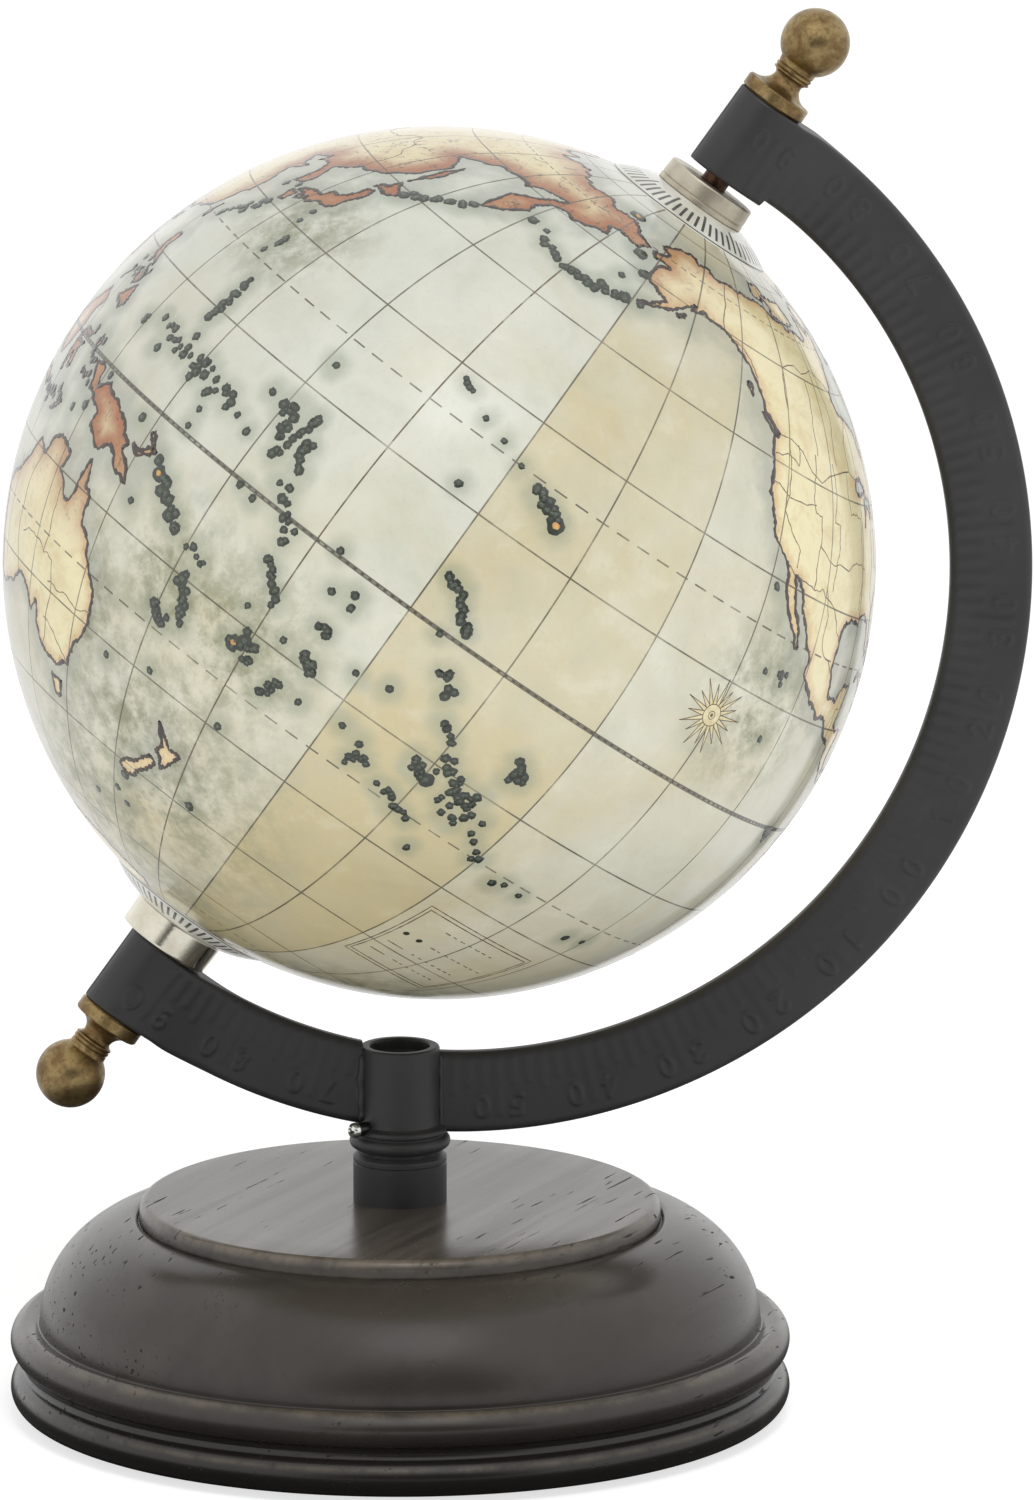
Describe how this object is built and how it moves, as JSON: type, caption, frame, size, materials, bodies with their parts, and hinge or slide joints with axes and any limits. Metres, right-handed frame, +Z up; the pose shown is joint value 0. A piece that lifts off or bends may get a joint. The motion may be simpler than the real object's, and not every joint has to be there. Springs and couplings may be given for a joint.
{
  "type": "desktop globe",
  "caption": "Small terrestrial globe that spins on a tilted axis in a half-ring arm, on a short swivelling post and a round turned wooden base.",
  "frame": {"origin": "middle of the underside, on the surface that the object stands on", "axes": "+Z up; the arm lies in the XZ plane with its bulge towards +X; the side with the scale faces -Y"},
  "size_m": [0.1507, 0.127, 0.2074],
  "materials": {
    "turned_wood": "satin",
    "felt": "matte",
    "black_paint": "satin",
    "steel": "satin",
    "brown_steel": "satin",
    "bright_steel": "satin",
    "brass": "satin",
    "matte_nickel": "satin",
    "nickel": "gloss",
    "shell_plastic": "matte",
    "map_paper_cool": "gloss",
    "map_paper_warm": "gloss",
    "white_paper": "gloss"
  },
  "bodies": {
    "base": {"wooden_base": "turned_wood", "base_felt_pad": "felt", "pedestal_tube": "black_paint", "pedestal_stud": "steel", "post_washer": "steel", "post_nut": "steel", "swivel_washer": "steel"},
    "arm": {"meridian_arm": "black_paint", "set_screw": "bright_steel", "axle_rod": "brown_steel", "upper_finial": "brass", "lower_finial": "brass"},
    "globe": {"north_shell": "shell_plastic", "south_shell": "shell_plastic", "equator_hoop": "shell_plastic", "north_pole_bush": "shell_plastic", "south_pole_bush": "shell_plastic", "upper_ferrule": "matte_nickel", "lower_ferrule": "nickel", "map_gore_01": "map_paper_cool", "map_gore_02": "map_paper_warm", "map_gore_03": "map_paper_cool", "map_gore_04": "map_paper_warm", "map_gore_05": "map_paper_cool", "map_gore_06": "map_paper_warm", "map_gore_07": "map_paper_cool", "map_gore_08": "map_paper_warm", "map_gore_09": "map_paper_cool", "map_gore_10": "map_paper_warm", "map_gore_11": "map_paper_cool", "map_gore_12": "map_paper_warm", "north_calotte": "white_paper", "south_calotte": "white_paper"}
  },
  "joints": [
    {"name": "arm_swivel", "type": "hinge", "parent": "base", "child": "arm", "pos_m": [0, 0, 0.0395], "axis": [0, 0, 1], "continuous": true},
    {"name": "globe_spin", "type": "hinge", "parent": "arm", "child": "globe", "pos_m": [0.00587, 0, 0.12668], "axis": [0.5878, 0, 0.809], "continuous": true}
  ]
}
